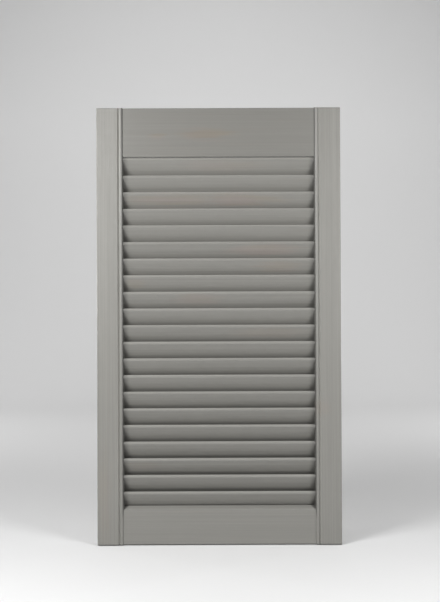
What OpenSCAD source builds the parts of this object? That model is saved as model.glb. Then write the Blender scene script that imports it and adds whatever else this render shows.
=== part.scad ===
// Louvred shutter panel with fixed slats.
// Two beaded stiles stand full height. A deep top rail and a shallower bottom rail are
// dowelled between them, and the slats sit in blind housings ploughed in the stiles.
// The front faces -Y, the hinge edge faces -X, and the origin is the middle of the foot.

/* [Panel] */
// Width over both stiles
panel_w = 402; // [300:1:600]
// Height from the foot to the top
panel_h = 720; // [640:1:840]
// Thickness of the stiles
panel_t = 28; // [26:0.5:34]
// Radius that eases every outer arris
ease_r = 1.2; // [0.6:0.1:2]

/* [Stiles] */
// Width of one stile, its bead included
stile_w = 43; // [36:0.5:60]
// Width of the bead run along the inner front arris
bead_w = 7; // [4:0.1:8]
// Width of the quirk, the sloping sinking beside the bead
quirk_w = 1.7; // [1:0.1:2.5]
// Depth of the quirk
quirk_depth = 2; // [1:0.1:2]

/* [Rails] */
// Height of the top rail
top_rail_h = 80.8; // [70:0.1:110]
// Height of the bottom rail at its front arris
bottom_rail_h = 58; // [50:0.5:76]
// Slope of the weathering, the front part of the bottom rail's top
weathering = 30; // [20:1:36]
// How far the rail faces lie behind the stile faces
rail_setback = 2.2; // [0.2:0.1:2.4]

/* [Slats] */
// Number of slats
slat_count = 21; // [16:1:22]
// Width of a slat across its slope
slat_w = 39; // [36:0.5:40]
// Thickness of a slat, with both long edges rounded to a half circle
slat_t = 6.5; // [5:0.5:7]
// Lean of a slat away from upright, its top edge towards the front
slat_tilt = 31; // [28:0.5:33]
// Gap between the first slat and the top rail
first_slat_gap = 0.6; // [0.3:0.1:3]
// Extra distance between the first slat and the second
first_slat_lift = 1.8; // [0:0.1:3]
// Height of the last slat's top edge above the front arris of the bottom rail
last_slat_rise = 29.4; // [28:0.1:33]

// Space between the last slat and the front wall of the rebate that it stands in
rebate_space = 3.3; // [0.5:0.1:4]

/* [Joints] */
// Depth of a slat housing in the stile
housing_depth = 7; // [4:0.5:9]
// Space left around a slat in its housing
housing_clearance = 0.1; // [0.05:0.01:0.2]
// Space left past the end of a slat
housing_end_gap = 0.2; // [0.1:0.1:0.5]
// Diameter of a dowel
dowel_d = 8; // [6:0.5:10]
// Length of a dowel, half of it in the stile
dowel_length = 40; // [30:1:44]
// Chamfer on both ends of a dowel
dowel_chamfer = 0.8; // [0.4:0.1:1.5]
// Space left around a dowel
dowel_clearance = 0.05; // [0.02:0.01:0.1]
// Space left past the end of a dowel
dowel_end_gap = 0.5; // [0.2:0.1:1]
// Distance from a long edge of a rail to the centre of its nearer dowel
dowel_edge_distance = 18; // [14:1:20]

/* [Hidden] */
$fn = 96;
// How far a cutting shape runs past the surface that it cuts
overrun = 1;
inner_x = panel_w / 2 - stile_w;
bead_r = bead_w / 2;
rail_t = panel_t - 2 * rail_setback;
opening_top = panel_h - top_rail_h;

slat_r = slat_t / 2;
slat_half_span = slat_w / 2 - slat_r;
slat_half_rise = slat_half_span * cos(slat_tilt) + slat_r;
slat_length = 2 * (inner_x + housing_depth - housing_end_gap);
first_slat_z = opening_top - first_slat_gap - slat_half_rise;
last_slat_z = bottom_rail_h + last_slat_rise - slat_half_rise;
slat_pitch = (first_slat_z - first_slat_lift - last_slat_z) / (slat_count - 1);
rebate_floor = last_slat_z - slat_half_rise - housing_clearance;

dowel_heights = [
    ["bottom_lower", dowel_edge_distance],
    ["bottom_upper", rebate_floor - dowel_edge_distance / 2 - dowel_d / 2],
    ["top_lower", opening_top + dowel_edge_distance],
    ["top_upper", panel_h - dowel_edge_distance]
];
sides = [["left", -1], ["right", 1]];

// Two-figure number of a slat, counted from the top
function slat_name(i) = str("slat_", i < 10 ? "0" : "", i);
function slat_z(i) = last_slat_z + (slat_count - i) * slat_pitch + (i == 1 ? first_slat_lift : 0);
function dowel_name(place, side) = str("dowel_", place, "_", side);

// Rectangle centred on the Y axis of its own plane, with all four corners eased
module eased_section(w, h, r) {
    translate([-w / 2 + r, 0]) square([w - 2 * r, h]);
    translate([-w / 2, r]) square([w, h - 2 * r]);
    for (x = [r - w / 2, w / 2 - r], y = [r, h - r])
        translate([x, y]) circle(r = r);
}

// Half circle standing on the X axis, bulging towards -Y
module half_disc(r) {
    intersection() {
        circle(r = r);
        translate([-r, -r]) square([2 * r, r]);
    }
}

// Plan of the left stile: front at y = 0, outer edge at x = 0
module stile_plan() {
    difference() {
        translate([stile_w / 2, 0]) eased_section(stile_w, panel_t, ease_r);
        translate([stile_w - bead_w, 0]) polygon([
            [-quirk_w, -overrun],
            [-quirk_w, 0],
            [0, quirk_depth],
            [bead_r, quirk_depth],
            [bead_r, bead_r],
            [bead_w + overrun, bead_r],
            [bead_w + overrun, -overrun]
        ]);
    }
    translate([stile_w - bead_r, bead_r]) half_disc(bead_r);
}

// Slat section, drawn with Y of the plane upright and -X of the plane to the front
module slat_section(grow = 0) {
    r = slat_r + grow;
    rotate(slat_tilt) {
        translate([-r, -slat_half_span]) square([2 * r, 2 * slat_half_span]);
        translate([0, -slat_half_span]) half_disc(r);
        translate([0, slat_half_span]) mirror([0, 1]) half_disc(r);
    }
}

// Extrudes a section drawn as (depth, height) along X, centred on x = 0
module along_x(length) {
    rotate([90, 0, 90]) linear_extrude(length, center = true) children();
}

// Cylinder along X, centred on the joint between a stile and a rail
module dowel_shape(side, z, r, length) {
    translate([side * inner_x, 0, z]) rotate([0, 90, 0])
        cylinder(r = r, h = length, center = true);
}

module dowel_holes() {
    for (d = dowel_heights, s = sides)
        dowel_shape(s[1], d[1], dowel_d / 2 + dowel_clearance, dowel_length + 2 * dowel_end_gap);
}

// Side view of the panel, which eases the foot and the head of a stile front and back
module eased_side_view() {
    along_x(panel_w + 2 * overrun) eased_section(panel_t, panel_h, ease_r);
}

// Front view of the panel, which eases its four corners
module eased_front_view() {
    rotate([90, 0, 0]) linear_extrude(panel_t + 2 * overrun, center = true)
        eased_section(panel_w, panel_h, ease_r);
}

module left_stile() {
    color([0.62, 0.61, 0.58]) difference() {
        intersection() {
            translate([-panel_w / 2, -panel_t / 2, 0]) linear_extrude(panel_h) stile_plan();
            eased_side_view();
            eased_front_view();
        }
        for (i = [1:slat_count])
            translate([-inner_x, 0, slat_z(i)])
                along_x(2 * housing_depth) slat_section(housing_clearance);
        dowel_holes();
    }
}

module right_stile() {
    mirror([1, 0, 0]) left_stile();
}

module top_rail() {
    color([0.6, 0.59, 0.56]) difference() {
        translate([0, 0, opening_top])
            along_x(2 * inner_x) eased_section(rail_t, top_rail_h, ease_r);
        dowel_holes();
    }
}

// Waste beyond a front arris of radius r where an upright face meets a sloping top
module arris_waste(r, slope) {
    reach = r / tan((90 + slope) / 2);
    difference() {
        polygon([
            [-overrun, -reach],
            [r, -reach],
            [reach * cos(slope), reach * sin(slope)],
            [-overrun, reach * sin(slope)]
        ]);
        translate([r, -reach]) circle(r = r);
    }
}

// Bottom rail: its top slopes down to the front, and behind that it is rebated for the last slat
module bottom_rail_section() {
    difference() {
        eased_section(rail_t, bottom_rail_h + rail_t * tan(weathering), ease_r);
        translate([-rail_t / 2, bottom_rail_h]) {
            rotate(weathering) square(2 * rail_t);
            arris_waste(ease_r, weathering);
        }
        intersection() {
            translate([0, last_slat_z]) rotate(slat_tilt)
                translate([-slat_r - rebate_space, -slat_w]) square(2 * slat_w);
            translate([-rail_t, rebate_floor]) square(2 * rail_t);
        }
    }
}

module bottom_rail() {
    color([0.6, 0.59, 0.56]) difference() {
        along_x(2 * inner_x) bottom_rail_section();
        dowel_holes();
    }
}

module slat(i) {
    color([0.57, 0.56, 0.53]) translate([0, 0, slat_z(i)])
        along_x(slat_length) slat_section();
}

// Straight beech dowel with chamfered ends
module dowel(side, z) {
    color([0.79, 0.66, 0.47]) translate([side * inner_x, 0, z]) rotate([0, 90, 0])
        rotate_extrude() polygon([
            [0, -dowel_length / 2],
            [dowel_d / 2 - dowel_chamfer, -dowel_length / 2],
            [dowel_d / 2, -dowel_length / 2 + dowel_chamfer],
            [dowel_d / 2, dowel_length / 2 - dowel_chamfer],
            [dowel_d / 2 - dowel_chamfer, dowel_length / 2],
            [0, dowel_length / 2]
        ]);
}

left_stile();
right_stile();
top_rail();
bottom_rail();
for (i = [1:slat_count])
    slat(i);
for (d = dowel_heights, s = sides)
    dowel(s[1], d[1]);
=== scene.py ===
# %% [markdown]
# # A louvred shutter panel
# The real object is one shutter panel of softwood: two stiles, two rails and a stack of sloping slats,
# all brushed with a warm grey wood stain. Its shapes come ready made from the construction model, so this
# lesson is about the other half of a picture: the camera, the light and above all the finish.

import math
import random

import bpy
from mathutils import Euler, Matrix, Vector


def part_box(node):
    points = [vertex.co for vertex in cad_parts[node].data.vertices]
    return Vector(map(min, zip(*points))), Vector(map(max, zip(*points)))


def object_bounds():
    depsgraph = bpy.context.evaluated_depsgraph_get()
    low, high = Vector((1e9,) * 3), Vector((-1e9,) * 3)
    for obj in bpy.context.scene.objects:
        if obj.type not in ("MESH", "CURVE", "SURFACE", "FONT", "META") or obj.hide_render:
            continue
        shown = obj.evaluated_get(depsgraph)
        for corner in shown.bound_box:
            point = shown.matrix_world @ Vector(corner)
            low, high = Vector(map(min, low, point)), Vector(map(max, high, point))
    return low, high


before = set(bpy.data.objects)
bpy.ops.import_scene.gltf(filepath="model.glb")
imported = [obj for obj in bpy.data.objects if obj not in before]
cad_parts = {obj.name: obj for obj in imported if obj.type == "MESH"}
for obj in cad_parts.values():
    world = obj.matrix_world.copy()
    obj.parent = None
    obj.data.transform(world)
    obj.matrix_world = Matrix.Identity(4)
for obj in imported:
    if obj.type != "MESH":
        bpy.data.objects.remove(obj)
panel_low, panel_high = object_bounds()
print("the panel measures", [round(side, 4) for side in panel_high - panel_low], "metres")

# %% [markdown]
# The sizes that several steps need are read off the loaded pieces once. Blender works in metres, but a
# finish is made of small things, such as a brush stroke 0.7 mm wide, and those are kinder to read in
# millimetres.

# %% Measure the pieces
MM = 0.001
panel_height = panel_high.z - panel_low.z
middle_height = (panel_low.z + panel_high.z) / 2
half_width = (panel_high.x - panel_low.x) / 2
half_thickness = (panel_high.y - panel_low.y) / 2
rail_half_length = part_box("top_rail")[1].x
slat_names = sorted(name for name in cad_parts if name.startswith("slat_"))
print(len(slat_names), "slats; clear width between the stiles", round(2 * rail_half_length, 4))

# %% [markdown]
# The panel stands upright and the camera looks at it square on, from just above its middle. The camera is
# all but level, so the stiles stay parallel. It is near enough to look up at the top slats and down at the
# bottom ones, and a longer lens from further away would lose that. The tiny turns are those of a
# hand-levelled tripod.

# %% Set up the camera
camera_distance = 1.376
camera_height = 0.3922
camera_sideways = 0.0008
camera_pitch = math.radians(90.373)
camera_roll = math.radians(-0.233)
camera_yaw = math.radians(-0.040)

camera_data = bpy.data.cameras.new("portrait_lens")
camera_data.sensor_fit = "VERTICAL"
camera_data.sensor_height = 36
camera_data.lens = 50
camera_data.dof.use_dof = False
camera = bpy.data.objects.new("camera", camera_data)
bpy.context.scene.collection.objects.link(camera)
bpy.context.scene.camera = camera
camera.location = (camera_sideways, panel_low.y - camera_distance, camera_height)
aimed = Euler((camera_pitch, 0, camera_yaw)).to_quaternion()
rolled = Euler((0, 0, camera_roll)).to_quaternion()
camera.rotation_euler = (aimed @ rolled).to_euler()
print("camera at", [round(place, 3) for place in camera.location])

# %% [markdown]
# A louvred panel is all small recesses, so the light decides how it reads. Light from straight ahead would
# fill every recess and flatten it. So the lights stand well to the sides: a large soft box far off at the
# left, and a smaller one near the panel on each side, which leaves the dark triangles at the ends of the
# slats. A box overhead brightens each slat's upper edge, and two behind light the back.
#
# The box overhead and the two behind would also whiten the floor round the foot. Light linking prevents
# that: they shine on the pieces of the panel and on nothing else.

# %% Helpers for hanging lights
def soft_box(name, place, aim, size, watts):
    """A rectangular light at a place, turned to its aim, that the camera itself doesn't see."""
    data = bpy.data.lights.new(name, "AREA")
    data.shape = "RECTANGLE"
    data.size, data.size_y = size
    data.energy = watts
    light = bpy.data.objects.new(name, data)
    bpy.context.scene.collection.objects.link(light)
    light.location = place
    light.rotation_euler = (Vector(aim) - Vector(place)).to_track_quat("-Z", "Y").to_euler()
    light.visible_camera = False
    return light


def light_only(light, pieces):
    """Keeps a light's spill off everything but these pieces, as a flag beside it would."""
    lit = bpy.data.collections.new("lit_by_" + light.name)
    for piece in pieces:
        lit.objects.link(piece)
    light.light_linking.receiver_collection = lit


def beside(angle, distance, height):
    """A place round the panel, that many degrees to the right of straight in front of it."""
    turn = math.radians(angle)
    return (distance * math.sin(turn), -distance * math.cos(turn), height)


print("light helpers ready")

# %% Light the panel
panel_middle = (0, 0, middle_height)
panel_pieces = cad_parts.values()

far_left = beside(angle=-35, distance=3.0, height=1.3)
near_left = beside(angle=-45, distance=1.0, height=0.72)
near_right = beside(angle=45, distance=1.0, height=0.6)
soft_box("key_left", far_left, panel_middle, size=(0.9, 0.9), watts=17)
soft_box("side_left", near_left, panel_middle, size=(0.4, 0.5), watts=10.8)
soft_box("side_right", near_right, panel_middle, size=(0.4, 0.6), watts=7.7)

overhead = soft_box("overhead", (0, -0.35, 2.1), panel_middle, size=(1.0, 0.5), watts=8)
light_only(overhead, panel_pieces)
for name, angle, watts in (("back_left", -140, 16), ("back_right", 140, 12)):
    behind = beside(angle, distance=1.6, height=0.42)
    back_light = soft_box(name, behind, panel_middle, size=(0.6, 0.5), watts=watts)
    light_only(back_light, panel_pieces)
print("lights on the panel hung")

# %% [markdown]
# The floor and the backdrop are one sheet of pale paper that curves up behind the panel, so no corner
# shows. It is a plane whose back edge is pulled up, and a wide bevel makes the curve. The paper lies a hair
# below the foot, which leaves the thin line of shadow that a standing board has.

# %% Roll out the paper sweep
sweep_width = 12.0
sweep_front = -6.0
sweep_back = 3.2
sweep_height = 5.0
sweep_curve = 1.4
foot_gap = 0.8 * MM


def deselect_all():
    """Lets go of everything, because an operator acts on all that is selected."""
    for item in bpy.context.selected_objects:
        item.select_set(False)


deselect_all()
bpy.ops.mesh.primitive_plane_add(size=1)
sweep = bpy.context.object
sweep.name = "paper_sweep"
sweep.scale = (sweep_width, sweep_back - sweep_front, 1)
sweep.location = (0, (sweep_back + sweep_front) / 2, -foot_gap)
bpy.ops.object.transform_apply(location=True, rotation=True, scale=True)
for edge in sweep.data.edges:
    edge.select = all(sweep.data.vertices[v].co.y > 0 for v in edge.vertices)
for vertex in sweep.data.vertices:
    vertex.select = vertex.co.y > 0
for face in sweep.data.polygons:
    face.select = False
bpy.ops.object.mode_set(mode="EDIT")
bpy.ops.mesh.select_mode(type="EDGE")
bpy.ops.mesh.extrude_region_move(TRANSFORM_OT_translate={"value": (0, 0, sweep_height)})
bpy.ops.object.mode_set(mode="OBJECT")
curve = sweep.modifiers.new("curve", "BEVEL")
curve.width = sweep_curve
curve.segments = 24
bpy.ops.object.modifier_apply(modifier=curve.name)
bpy.ops.object.shade_smooth()
print("paper sweep of", len(sweep.data.polygons), "faces")

# %% [markdown]
# The lights on the panel leave the paper behind it dull, so the paper has lights of its own. One box hangs
# over the curve and two stand at its sides. The parts of the floor that are seen only by walking round the
# panel get a broad wash from above, and those three washes light nothing but the paper.

# %% Light the paper
curve_middle = (0, 2.9, 0.6)
curve_top = (0, 2.9, 1.2)
soft_box("paper_top", (0, 1.2, 2.4), curve_top, size=(2.0, 0.5), watts=13)
soft_box("paper_left", (-1.6, 0.8, 0.9), curve_middle, size=(0.4, 0.8), watts=12.8)
soft_box("paper_right", (1.6, 0.8, 0.9), curve_middle, size=(0.4, 0.8), watts=13.8)

wash_height = 2.2
washes = [
    ("wash_front", 0, -4.2, (9.0, 3.5), 70),
    ("wash_left", -4.6, 0.8, (2.0, 5.0), 20),
    ("wash_right", 4.6, 0.8, (2.0, 5.0), 20),
]
for name, x, y, size, watts in washes:
    wash = soft_box(name, (x, y, wash_height), (x, y, 0), size, watts)
    light_only(wash, [sweep])
print("lights on the paper hung")

# %% [markdown]
# A material is a small calculation that runs at every point of a surface. Written out as nodes it is hard
# to read, so one small class stands for a socket and lets the sums be written as Python. Adding or
# multiplying two sockets adds a Math node, and every other node comes from one method. A socket with no
# output stands for an empty tree, and only its method is used.

# %% Sockets as Python values
class Socket:
    """One output of a node, used as a value in an expression."""

    def __init__(self, tree, output=None):
        self.tree = tree
        self.output = output

    def node(self, kind, settings, inputs, output=0):
        """Adds a node: its settings first, then the value or the link of each socket."""
        made = self.tree.nodes.new("ShaderNode" + kind)
        for name, value in settings.items():
            setattr(made, name, value)
        for name, value in inputs.items():
            if isinstance(value, Socket):
                self.tree.links.new(value.output, made.inputs[name])
            else:
                made.inputs[name].default_value = value
        return Socket(self.tree, made.outputs[output])

    def math(self, operation, *values):
        return self.node("Math", {"operation": operation}, dict(enumerate(values)))

    def __add__(self, other):
        return self.math("ADD", self, other)

    def __radd__(self, other):
        return self.math("ADD", other, self)

    def __sub__(self, other):
        return self.math("SUBTRACT", self, other)

    def __rsub__(self, other):
        return self.math("SUBTRACT", other, self)

    def __mul__(self, other):
        return self.math("MULTIPLY", self, other)

    def __rmul__(self, other):
        return self.math("MULTIPLY", other, self)

    def __truediv__(self, other):
        return self.math("DIVIDE", self, other)

    def __abs__(self):
        return self.math("ABSOLUTE", self)


print("sockets ready")

# %% [markdown]
# Past the edges of the paper there is only the world. The camera sees it as pale grey, so a view from any
# side has a plain ground. Everything else gets a very faint glow from it, because a strong one would shine
# into the recesses from all round and flatten them. The Standard view shows colours as they are, with no
# film curve over them.

# %% Surround the studio
world = bpy.data.worlds.new("studio")
world.use_nodes = True
world_tree = world.node_tree
world_tree.nodes.remove(world_tree.nodes["Background"])
start = Socket(world_tree)
faint_glow = start.node("Background", {}, {"Color": (1, 1, 1, 1), "Strength": 0.08})
pale_ground = start.node("Background", {}, {"Color": (0.62, 0.62, 0.62, 1), "Strength": 1.0})
to_camera = start.node("LightPath", {}, {}, "Is Camera Ray")
around = start.node("MixShader", {}, {0: to_camera, 1: faint_glow, 2: pale_ground})
world_tree.links.new(around.output, world_tree.nodes["World Output"].inputs["Surface"])
bpy.context.scene.world = world
bpy.context.scene.view_settings.view_transform = "Standard"
print("world of", len(world_tree.nodes), "nodes")

# %% [markdown]
# A finish comes down to a few shapes of number. A mask is 1 where something shows and 0 elsewhere, and it
# has soft edges, because a hard edge looks printed. Masks are multiplied to cut them down and the largest
# is taken to join them.

# %% Masks and blends
def step_up(value, start, end):
    """Rises smoothly from 0 at start to 1 at end."""
    inputs = {"Value": value, "From Min": start, "From Max": end}
    return value.node("MapRange", {"interpolation_type": "SMOOTHSTEP"}, inputs)


def step_down(value, start, end):
    """Falls smoothly from 1 at start to 0 at end."""
    return 1 - step_up(value, start, end)


def near(value, limit, reach):
    """Rises to 1 over the last stretch before a coordinate meets its limit on either side."""
    return step_up(abs(value), limit - reach, limit)


def largest(first, second):
    """The greater of two values at every point."""
    return first.math("MAXIMUM", first, second)


def radius(across, up):
    """How far a point is from a centre, from its distances along two axes."""
    return across.math("SQRT", across * across + up * up)


def blend_colour(factor, first, second):
    """Goes from the first colour to the second as the factor goes from 0 to 1."""
    # On a Mix node that is set to colours, 6 and 7 are the two colours and output 2 is the result.
    return factor.node("Mix", {"data_type": "RGBA"}, {0: factor, 6: first, 7: second}, 2)


print("masks ready")

# %% [markdown]
# Wood is worked along its grain, and the brush follows the grain too: up and down on the stiles, from side
# to side on the rails and slats. So each finish first turns the object's own coordinates into board
# coordinates, with two axes across the grain and the third along it. After that, every pattern can be
# stretched along that third axis, whichever way the board lies.
#
# Growth rings could be painted on each face as wavy lines. Here they are what they are in a tree, nested
# tubes around a pith that runs along the grain. A face then shows lines, and the sawn end of the same board
# shows arcs, with nothing more to do.

# %% Board coordinates, streaks and growth rings
RING_SPACING = 3.4 * MM
RING_WANDER = 12 * MM


class Board:
    """A new material for a board whose grain runs along X or Z. The shift is in metres along the grain."""

    def __init__(self, name, grain, shift=0.0):
        self.material = bpy.data.materials.new(name)
        self.material.use_nodes = True
        self.tree = self.material.node_tree
        self.shader = self.tree.nodes["Principled BSDF"]
        place = Socket(self.tree).node("TexCoord", {}, {}, "Object")
        self.x = place.node("SeparateXYZ", {}, {"Vector": place}, "X")
        self.y = place.node("SeparateXYZ", {}, {"Vector": place}, "Y")
        self.z = place.node("SeparateXYZ", {}, {"Vector": place}, "Z")
        self.wide, along = {"Z": (self.x, self.z), "X": (self.z, self.x)}[grain]
        order = (self.wide, self.y, along + shift)
        self.point = place.node("CombineXYZ", {}, dict(enumerate(order)))

    def streaks(self, across, along, detail=2.0, roughness=0.5):
        """Noise from 0 to 1 with streaks of that width and length, in millimetres."""
        stretch = (1 / (across * MM), 1 / (across * MM), 1 / (along * MM))
        placed = self.point.node("Mapping", {}, {"Vector": self.point, "Scale": stretch})
        inputs = {"Vector": placed, "Scale": 1.0, "Detail": detail, "Roughness": roughness}
        return placed.node("TexNoise", {}, inputs, "Fac")

    def growth_rings(self, pith):
        """1 on the dense late wood of each ring around a pith at that place, in millimetres."""
        from_pith = radius(self.wide - pith[0] * MM, self.y - pith[1] * MM)
        wander = (self.streaks(40, 500) - 0.5) * RING_WANDER
        grown = self.x.math("FRACT", (from_pith + wander) / RING_SPACING)
        return step_up(grown, 0.45, 0.85) * step_down(grown, 0.9, 1.0)

    def finish(self, **inputs):
        """Gives the shader its values and links, and hands over the material."""
        for name, value in inputs.items():
            socket = self.shader.inputs[name.replace("_", " ")]
            if isinstance(value, Socket):
                self.tree.links.new(value.output, socket)
            else:
                socket.default_value = value
        return self.material


print("boards ready")

# %% [markdown]
# Brushed wood stain is a thin, silky film. Close up it has fine brush strokes under a millimetre wide,
# combed streaks about 2 mm wide that run on and on, broader soft bands where the brush was reloaded, and
# the faint ridges of the growth rings below. The strokes matter most for the look: like brushed metal they
# smear the light sideways, so a stile, whose strokes run upright, catches the side lights over its whole
# width, while a rail beside it stays darker.
#
# Where the film is thin, a little pinkish or straw-coloured wood shows through, and the clearest of those
# places are named one by one. On the sharp arrises the brush leaves less, so they are paler. In the quirks
# the paler colour is painted light, and on the slats' upper edges it is partly wear and partly a painted
# highlight. Sawn ends drink more stain and dry darker. Joints, corners and recesses are painted darker as
# painted shade, standing in for shadows.

# %% The brushed stain
STAIN_GREY = (0.1715, 0.168, 0.1545, 1)
STAIN_PINK = (0.192, 0.164, 0.148, 1)
STAIN_STRAW = (0.188, 0.168, 0.138, 1)
BAND_DEPTH = 0.10


def thin_spot(board, place, half_width, half_height, strength):
    """A soft-edged patch, streaky along the grain, where the film is thin. Sizes in millimetres."""
    across = (board.x - place[0] * MM) / (half_width * MM)
    up = (board.z - place[1] * MM) / (half_height * MM)
    ragged = radius(across, up) + (board.streaks(2.5, 60) - 0.5) * 1.6
    return step_down(ragged, 0.35, 1.15) * strength


def film_colour(board, thin):
    """Grey stain, which turns to the pink or straw of the wood below as the film gets thin."""
    wood = blend_colour(step_up(board.streaks(9, 90), 0.40, 0.60), STAIN_PINK, STAIN_STRAW)
    return blend_colour(thin, STAIN_GREY, wood)


def brushed_stain(board, pith, thin_spots, tone, stroke_height, wear_and_painted_light, painted_shade, end=0.0):
    """Finishes a board. Its strokes stand that many millimetres high, and its masks say where it is paler
    from wear and painted light, where painted shade darkens it by that share, and where the wood is a sawn
    end."""
    strokes = board.streaks(0.7, 60, detail=2.5, roughness=0.6)
    combed = board.streaks(2.2, 400, detail=1.0)
    bands = board.streaks(6, 260)
    rings = board.growth_rings(pith)

    thin = largest((board.streaks(5, 120) - 0.62) * 0.8, 0.0)
    for spot in thin_spots:
        thin = largest(thin, thin_spot(board, *spot))

    stroke_shade = (strokes - 0.5) * stroke_height * 0.6
    combed_shade = (combed - 0.5) * stroke_height * 1.3
    band_shade = (bands - 0.5) * BAND_DEPTH
    ring_shade = rings * (0.012 + thin * 0.06)
    lightness = 1 + stroke_shade + combed_shade + band_shade - ring_shade
    # Wear lightens the colour, and so does painted light in the quirks and on the slats' upper edges;
    # painted shade darkens it by its share.
    wear_and_light_lift = 1 + wear_and_painted_light * 0.07
    soaked = 1 - end * (0.22 + rings * 0.12)
    lightness = lightness * wear_and_light_lift * soaked * (1 - painted_shade) * tone
    film = film_colour(board, thin)
    colour = film.node("VectorMath", {"operation": "SCALE"}, {"Vector": film, "Scale": lightness})

    stroke_ridges = strokes * (stroke_height - end * stroke_height)
    ring_ridges = rings * (0.02 + end * 0.05)
    height = stroke_ridges + bands * BAND_DEPTH + ring_ridges
    bump = height.node("Bump", {}, {"Height": height, "Strength": 1.0, "Distance": MM})
    return board.finish(
        Base_Color=colour,
        Roughness=0.40 + (bands - 0.5) * 0.12 + end * 0.25,
        Normal=bump,
        IOR=1.5,
    )


print("brushed stain ready")

# %% [markdown]
# The two stiles come from different boards, so each has its pith in another place. Their sawn ends show at
# the head and at the foot, and their long outer arrises take the knocks. The quirk, the narrow sinking
# beside the bead, is painted paler as painted light. The inner edge beside the slats and the top rail is
# painted darker as painted shadow, and so is a fine line along the foot, a painted contact shadow.

# %% Stain the stiles
arris_reach = 0.9 * MM
sawn_reach = 0.4 * MM
quirk_start = (6.6 * MM, 7.4 * MM)
quirk_end = (8.2 * MM, 9.2 * MM)


def painted_foot_shadow(board):
    """Painted contact shadow: a dark line along the lowest 2 mm of a board that stands on the floor."""
    return step_down(board.z, 0.8 * MM, 2.0 * MM) * 0.7


def stile_stain(side, pith, thin_spots, painted_quirk_light):
    """The finish of one stile. The quirk is painted paler, as painted light, by that many times a worn
    arris.
    """
    board = Board("stain_" + side + "_stile", "Z")
    end = near(board.z - middle_height, panel_height / 2, sawn_reach)
    arrises = near(board.x, half_width, arris_reach) * near(board.y, half_thickness, arris_reach)

    from_inner_edge = abs(board.x) - rail_half_length
    # Painted light: the quirk is lightened to stand in for side light reaching into it, more on the right
    # stile.
    quirk = step_up(from_inner_edge, *quirk_start) * step_down(from_inner_edge, *quirk_end)
    quirk = quirk * step_down(board.y, 4 * MM - half_thickness, 8 * MM - half_thickness)
    # Painted shadow: the bead's inner flank and the joint beside it are darkened above the bottom rail.
    inner_edge_shadow = step_down(from_inner_edge, 0.8 * MM, 3.0 * MM) * step_down(board.y, 0.0, 10 * MM)
    above_bottom_rail = step_up(board.z, 40 * MM, 60 * MM)
    inner_edge_shadow = inner_edge_shadow * above_bottom_rail * 0.5
    return brushed_stain(
        board, pith, thin_spots, tone=1.06, stroke_height=0.24, end=end,
        wear_and_painted_light=arrises + quirk * painted_quirk_light, painted_shade=largest(inner_edge_shadow, painted_foot_shadow(board)),
    )


stains = {
    "left_stile": stile_stain("left", (-160, 70), [((-190, 80), 12, 90, 0.3)], 1.5),
    "right_stile": stile_stain("right", (205, -90), [((165, 225), 24, 14, 0.3)], 3.0),
}
print(len(stains), "stiles stained")

# %% [markdown]
# The rails are stained along their length, across the stiles, and with lighter strokes. The top rail is
# the widest board and the darkest, and it has the clearest thin spots, two long ones a little below its
# middle. Against the stiles both rails are painted darker, as painted shadow: the top rail in a fine line
# down each joint, and the bottom rail in the two corners of its sloping top.

# %% Stain the rails
rail_stroke_height = 0.11
corner_foot = 57 * MM
corner_slope = 1.2


def rail_arrises(board, name):
    """A mask that is 1 on the four long arrises of a rail."""
    low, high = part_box(name)
    from_middle = board.z - (low.z + high.z) / 2
    return near(from_middle, (high.z - low.z) / 2, arris_reach) * near(board.y, high.y, arris_reach)


def top_rail_stain():
    """The finish of the top rail, with painted shadow down both joints."""
    board = Board("stain_top_rail", "X")
    thin_spots = [((-20, 677), 50, 11, 0.8), ((-100, 674), 18, 6, 0.6)]
    # Painted shadow: a fine dark line down each joint with the stiles.
    return brushed_stain(
        board, (700, 95), thin_spots, tone=0.87, stroke_height=rail_stroke_height,
        wear_and_painted_light=rail_arrises(board, "top_rail"), painted_shade=near(board.x, rail_half_length, arris_reach) * 0.4,
    )


def bottom_rail_stain():
    """The finish of the bottom rail, with painted shadow at its foot and in the corners of its sloping top.
    """
    board = Board("stain_bottom_rail", "X")
    # Painted shadow of the stiles, widening up the sloping top in each corner.
    into_corner = abs(board.x) + (board.z - corner_foot) * corner_slope
    corner = step_up(into_corner, rail_half_length - 1.5 * MM, rail_half_length + 1.5 * MM) * 0.45
    return brushed_stain(
        board, (-10, -80), [], tone=1.05, stroke_height=rail_stroke_height,
        wear_and_painted_light=rail_arrises(board, "bottom_rail"), painted_shade=largest(corner, painted_foot_shadow(board)),
    )


stains["top_rail"] = top_rail_stain()
stains["bottom_rail"] = bottom_rail_stain()
print(len(stains), "stiles and rails stained")

# %% [markdown]
# One finish on all the slats would do, but the real slats were cut from many boards and picked up in any
# order. So each gets a stain of its own: the pattern starts somewhere else along the board, the pith lies
# elsewhere, and the tone drifts by a hair. The draws are seeded, so every run picks the same boards. A
# table of the slats that show thin spots holds, for each spot, its distance from the middle and its half
# width in millimetres, and its strength.
#
# The rounded upper edge is a little paler, partly from wear and partly as a painted highlight. Both ends
# beside the stiles, and the low part of each slat in the recess just above the edge of the next one, are
# painted darker: painted shadow and painted shade. Further down the panel that painted shade deepens and
# the slats are painted a shade paler, painted light for floor light that the few lights of this scene don't
# give.

# %% Stain the slats
slat_thin_spots = {
    1: [(8, 75, 0.3)],
    3: [(-75, 85, 0.6), (40, 75, 0.65)],
    6: [(75, 72, 0.6)],
    7: [(98, 45, 0.45)],
    8: [(-140, 20, 0.35)],
    9: [(-35, 48, 0.45)],
    11: [(85, 70, 0.3)],
    19: [(-130, 35, 0.25)],
}
spot_half_height = 11
spot_lift = 4
pattern_shift = 0.9
draw = random.Random(21)


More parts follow.
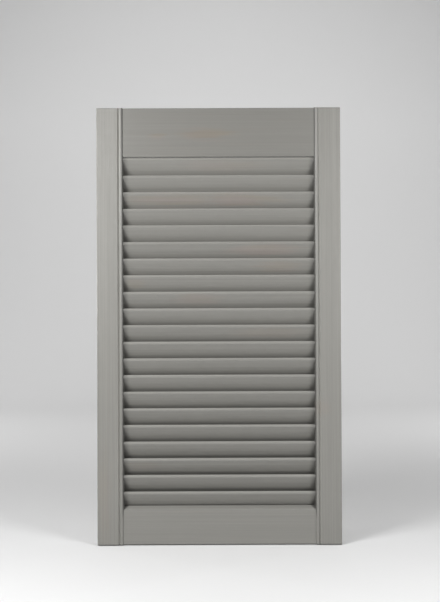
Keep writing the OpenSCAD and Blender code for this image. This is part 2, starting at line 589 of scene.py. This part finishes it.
def slat_stain(number, name):
    """The finish of one slat, numbered from the top."""
    low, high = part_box(name)
    middle = (low.z + high.z) / (2 * MM)
    way_down = number / len(slat_names)
    board = Board("stain_" + name, "X", number * pattern_shift)
    pith = (middle + draw.uniform(-60, 60), draw.choice((-1, 1)) * draw.uniform(25, 80))
    thin_spots = [
        ((x, middle + spot_lift), spot_half_width, spot_half_height, strength)
        for x, spot_half_width, strength in slat_thin_spots.get(number, [])
    ]
    below_top = high.z - board.z
    # The paler upper edge is partly wear and partly a painted highlight.
    upper_edge_wear_and_highlight = step_up(below_top, -0.5 * MM, 0.3 * MM) * step_down(below_top, 1.5 * MM, 3 * MM)
    # Painted shade low on each slat, deepening down the panel, and painted shadow at both ends beside the
    # stiles.
    recess_shade = step_up(below_top, 22 * MM, 28 * MM) * (0.02 + 0.5 * way_down)
    shadow_beside_stiles = near(board.x, rail_half_length, 11 * MM) * 0.42
    # The slats are painted paler further down the panel, painted light standing in for floor light.
    tone = draw.uniform(1.00, 1.04) + 0.06 * way_down
    return brushed_stain(
        board, pith, thin_spots, tone, stroke_height=0.16,
        wear_and_painted_light=upper_edge_wear_and_highlight, painted_shade=largest(recess_shade, shadow_beside_stiles),
    )


for number, name in enumerate(slat_names, start=1):
    stains[name] = slat_stain(number, name)
print(len(stains), "stained boards")

# %% [markdown]
# The dowels are hidden in their holes. They are plain beech, straight from the rod, with short darker
# flecks along the grain.

# %% Beech dowels
BEECH_PALE = (0.62, 0.43, 0.25, 1)
BEECH_FLECK = (0.48, 0.30, 0.16, 1)

beech = Board("beech_dowel", "X")
flecks = step_up(beech.streaks(0.6, 5), 0.55, 0.75)
beech_finish = beech.finish(
    Base_Color=blend_colour(flecks, BEECH_PALE, BEECH_FLECK),
    Roughness=0.6 + flecks * 0.1,
)
print("beech ready")

# %% [markdown]
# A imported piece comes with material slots, and a new material in a slot changes its look and leaves its
# mesh alone. Every board has a stain under its own name. What has none is a dowel.

# %% Give every piece its finish
for name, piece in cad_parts.items():
    for slot in piece.material_slots:
        slot.material = stains.get(name, beech_finish)
print(len(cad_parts), "pieces finished")

# %% [markdown]
# Background paper is matt and very even. One flat colour would do in a small picture, but faint fibres
# cost one line and keep the floor from looking like plastic.

# %% Finish of the paper sweep
PAPER_DULL = (0.765, 0.765, 0.765, 1)
PAPER_BRIGHT = (0.785, 0.785, 0.785, 1)

paper = Board("pale_paper", "X")
fibres = paper.streaks(4, 4)
paper_finish = paper.finish(
    Base_Color=blend_colour(fibres, PAPER_DULL, PAPER_BRIGHT),
    Roughness=0.75,
)
sweep.data.materials.append(paper_finish)
print("paper finished")
